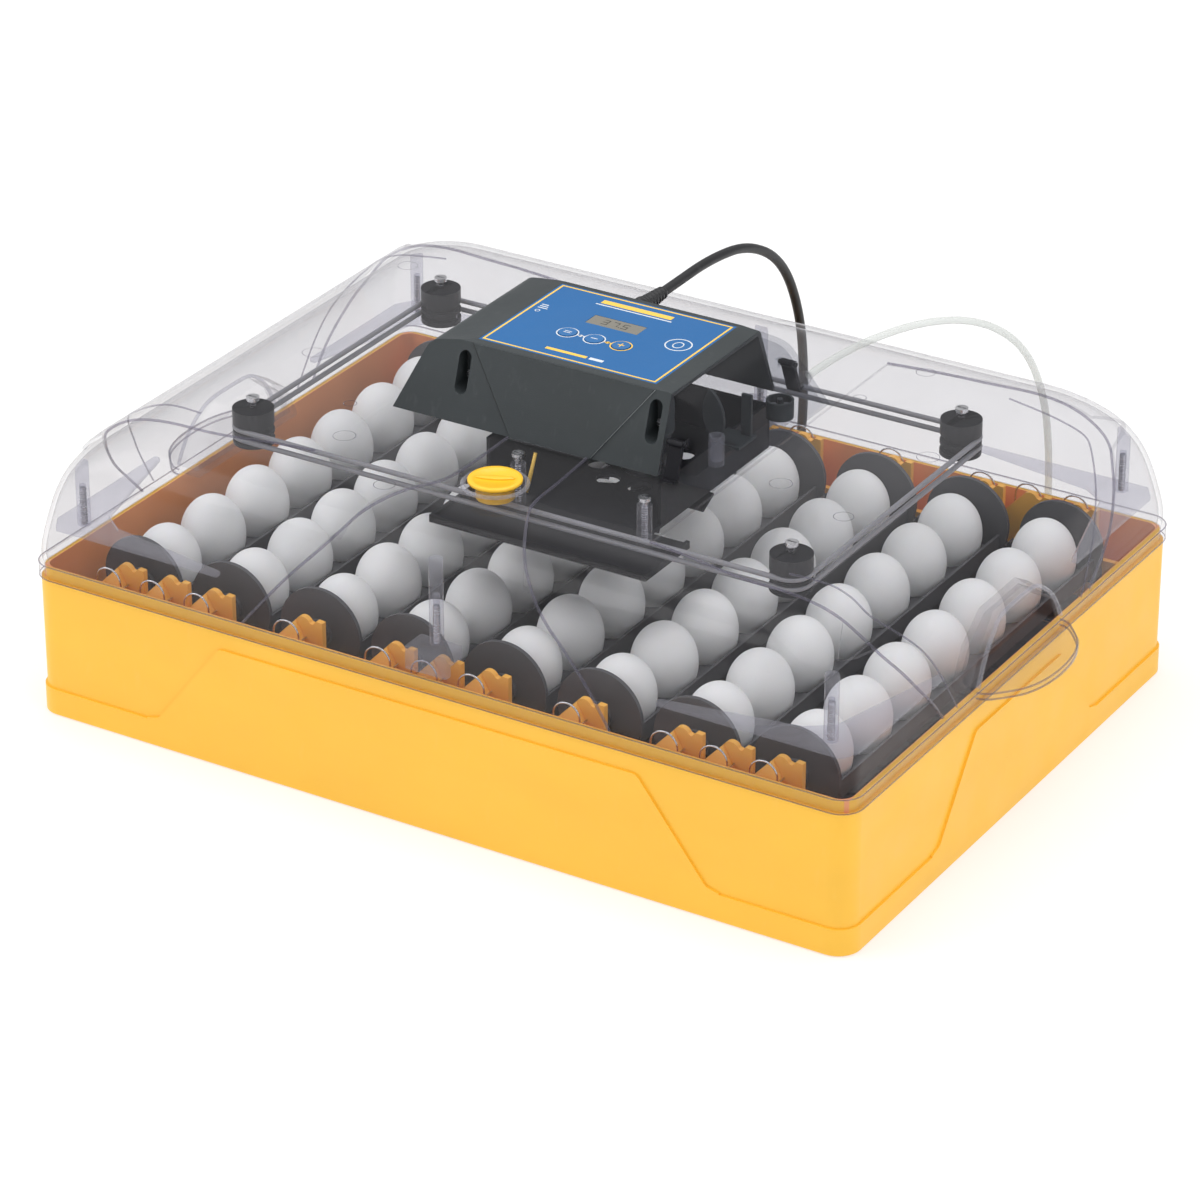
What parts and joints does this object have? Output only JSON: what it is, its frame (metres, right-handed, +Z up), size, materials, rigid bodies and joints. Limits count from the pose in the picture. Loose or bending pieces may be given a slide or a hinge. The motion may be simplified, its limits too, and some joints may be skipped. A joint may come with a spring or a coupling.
{
  "type": "egg incubator",
  "caption": "Tabletop forced-air egg incubator: moulded tub, rocking egg carriers, clear domed lid with fan, heater cord, vent and control module.",
  "frame": {"origin": "middle of the footprint, on the table", "axes": "+X along the long side towards the smoked end of the module, +Y to the rear, +Z up"},
  "size_m": [0.6578, 0.5807, 0.2546],
  "materials": {
    "yellow_plastic": "moulded, satin",
    "orange_plastic": "moulded, satin",
    "clear_plastic": "clear, polished",
    "smoked_plastic": "smoked clear, polished",
    "dark_plastic": "fine-grained moulding",
    "black_plastic": "moulded",
    "grey_plastic": "moulded, satin",
    "blue_label": "printed polyester film",
    "button_film": "printed domed film",
    "display_glass": "lcd window",
    "egg_shell": "matt egg shell",
    "black_rubber": "soft",
    "steel": "bright wire and screws",
    "motor_steel": "plated",
    "brass_pins": "plated pins",
    "circuit_green": "solder-masked board",
    "cord_black": "pvc sheath",
    "heater_grey": "silicone-insulated",
    "silicone_clear": "translucent silicone"
  },
  "bodies": {
    "base": {"base_tub": "yellow_plastic", "rubber_feet": "black_rubber", "water_tray": "grey_plastic", "floor_tray": "grey_plastic", "front_bearing_rail": "orange_plastic", "rear_bearing_rail": "orange_plastic", "front_wire_clips": "steel", "rear_wire_clips": "steel", "turning_motor": "motor_steel"},
    "carrier_1": {"egg_carrier_1": "grey_plastic", "egg_row_1": "egg_shell"},
    "carrier_2": {"egg_carrier_2": "grey_plastic", "egg_row_2": "egg_shell"},
    "carrier_3": {"egg_carrier_3": "grey_plastic", "egg_row_3": "egg_shell"},
    "carrier_4": {"egg_carrier_4": "grey_plastic", "egg_row_4": "egg_shell"},
    "carrier_5": {"egg_carrier_5": "grey_plastic", "egg_row_5": "egg_shell"},
    "carrier_6": {"egg_carrier_6": "grey_plastic", "egg_row_6": "egg_shell"},
    "carrier_7": {"egg_carrier_7": "grey_plastic", "egg_row_7": "egg_shell"},
    "carrier_8": {"egg_carrier_8": "grey_plastic", "egg_row_8": "egg_shell"},
    "rack": {"turning_rack": "grey_plastic"},
    "drive": {"drive_pinion": "grey_plastic"},
    "lid": {"lid_shell": "clear_plastic", "lid_ledges": "clear_plastic", "clear_posts": "clear_plastic", "lid_screws": "steel", "heater_bobbins": "black_plastic", "heater_cord": "heater_grey", "fan_plate": "black_plastic", "fan_motor": "motor_steel", "temperature_probe": "steel", "housing_cover": "dark_plastic", "smoked_end_cover": "smoked_plastic", "label_panel": "blue_label", "display_window": "display_glass", "circuit_board": "circuit_green", "vent_blades": "dark_plastic", "pump_body": "dark_plastic", "cord_grommet": "black_rubber", "mains_lead": "cord_black", "mains_coil": "cord_black", "mains_plug": "cord_black", "plug_pins": "brass_pins", "pump_nipple": "clear_plastic", "water_tube": "silicone_clear", "tube_end": "steel"},
    "vent": {"vent_plug": "yellow_plastic"},
    "fan": {"fan_rotor": "black_plastic"},
    "pump_wheel": {"pump_rotor": "grey_plastic"},
    "left_key": {"left_button": "button_film"},
    "middle_key": {"middle_button": "button_film"},
    "right_key": {"right_button": "button_film"},
    "front_catch": {"front_latch": "black_plastic"},
    "rear_catch": {"rear_latch": "black_plastic"}
  },
  "joints": [
    {"name": "lid_lift", "type": "slide", "parent": "base", "child": "lid", "axis": [0, 0, 1], "range_m": [0, 0.16]},
    {"name": "carrier_1_tilt", "type": "hinge", "parent": "base", "child": "carrier_1", "pos_m": [-0.23975, 0, 0.093], "axis": [0, 1, 0], "range_deg": [-45, 45]},
    {"name": "carrier_2_tilt", "type": "hinge", "parent": "base", "child": "carrier_2", "pos_m": [-0.17125, 0, 0.093], "axis": [0, 1, 0], "range_deg": [-45, 45]},
    {"name": "carrier_3_tilt", "type": "hinge", "parent": "base", "child": "carrier_3", "pos_m": [-0.10275, 0, 0.093], "axis": [0, 1, 0], "range_deg": [-45, 45]},
    {"name": "carrier_4_tilt", "type": "hinge", "parent": "base", "child": "carrier_4", "pos_m": [-0.03425, 0, 0.093], "axis": [0, 1, 0], "range_deg": [-45, 45]},
    {"name": "carrier_5_tilt", "type": "hinge", "parent": "base", "child": "carrier_5", "pos_m": [0.03425, 0, 0.093], "axis": [0, 1, 0], "range_deg": [-45, 45]},
    {"name": "carrier_6_tilt", "type": "hinge", "parent": "base", "child": "carrier_6", "pos_m": [0.10275, 0, 0.093], "axis": [0, 1, 0], "range_deg": [-45, 45]},
    {"name": "carrier_7_tilt", "type": "hinge", "parent": "base", "child": "carrier_7", "pos_m": [0.17125, 0, 0.093], "axis": [0, 1, 0], "range_deg": [-45, 45]},
    {"name": "carrier_8_tilt", "type": "hinge", "parent": "base", "child": "carrier_8", "pos_m": [0.23975, 0, 0.093], "axis": [0, 1, 0], "range_deg": [-45, 45]},
    {"name": "rack_slide", "type": "slide", "parent": "base", "child": "rack", "axis": [1, 0, 0], "range_m": [-0.0109, 0.0109]},
    {"name": "drive_pinion_turn", "type": "hinge", "parent": "base", "child": "drive", "pos_m": [0, 0.185, 0.093], "axis": [0, 1, 0], "range_deg": [-45, 45]},
    {"name": "vent_turn", "type": "hinge", "parent": "lid", "child": "vent", "pos_m": [0, -0.132, 0.206], "axis": [0, 0, 1], "range_deg": [0, 90]},
    {"name": "fan_spin", "type": "hinge", "parent": "lid", "child": "fan", "pos_m": [0.032, -0.004, 0.157], "axis": [0, 0, 1], "continuous": true},
    {"name": "pump_spin", "type": "hinge", "parent": "lid", "child": "pump_wheel", "pos_m": [0.1, 0.047, 0.208], "axis": [0, 0, 1], "continuous": true},
    {"name": "left_button_press", "type": "slide", "parent": "lid", "child": "left_key", "axis": [0, 0, -1], "range_m": [0, 0.0008], "stiffness_N_per_m": 900},
    {"name": "middle_button_press", "type": "slide", "parent": "lid", "child": "middle_key", "axis": [0, 0, -1], "range_m": [0, 0.0008], "stiffness_N_per_m": 900},
    {"name": "right_button_press", "type": "slide", "parent": "lid", "child": "right_key", "axis": [0, 0, -1], "range_m": [0, 0.0008], "stiffness_N_per_m": 900},
    {"name": "front_latch_swing", "type": "hinge", "parent": "lid", "child": "front_catch", "pos_m": [0.09, -0.0645, 0.226], "axis": [-1, 0, 0], "range_deg": [0, 55]},
    {"name": "rear_latch_swing", "type": "hinge", "parent": "lid", "child": "rear_catch", "pos_m": [0.09, 0.0745, 0.226], "axis": [1, 0, 0], "range_deg": [0, 55]}
  ],
  "couplings": [
    {"joint": "carrier_2_tilt", "follows": "carrier_1_tilt", "ratio": 1},
    {"joint": "carrier_3_tilt", "follows": "carrier_1_tilt", "ratio": 1},
    {"joint": "carrier_4_tilt", "follows": "carrier_1_tilt", "ratio": 1},
    {"joint": "carrier_5_tilt", "follows": "carrier_1_tilt", "ratio": 1},
    {"joint": "carrier_6_tilt", "follows": "carrier_1_tilt", "ratio": 1},
    {"joint": "carrier_7_tilt", "follows": "carrier_1_tilt", "ratio": 1},
    {"joint": "carrier_8_tilt", "follows": "carrier_1_tilt", "ratio": 1},
    {"joint": "rack_slide", "follows": "carrier_1_tilt", "m_per_rad": -0.013875},
    {"joint": "drive_pinion_turn", "follows": "carrier_1_tilt", "ratio": 1}
  ]
}
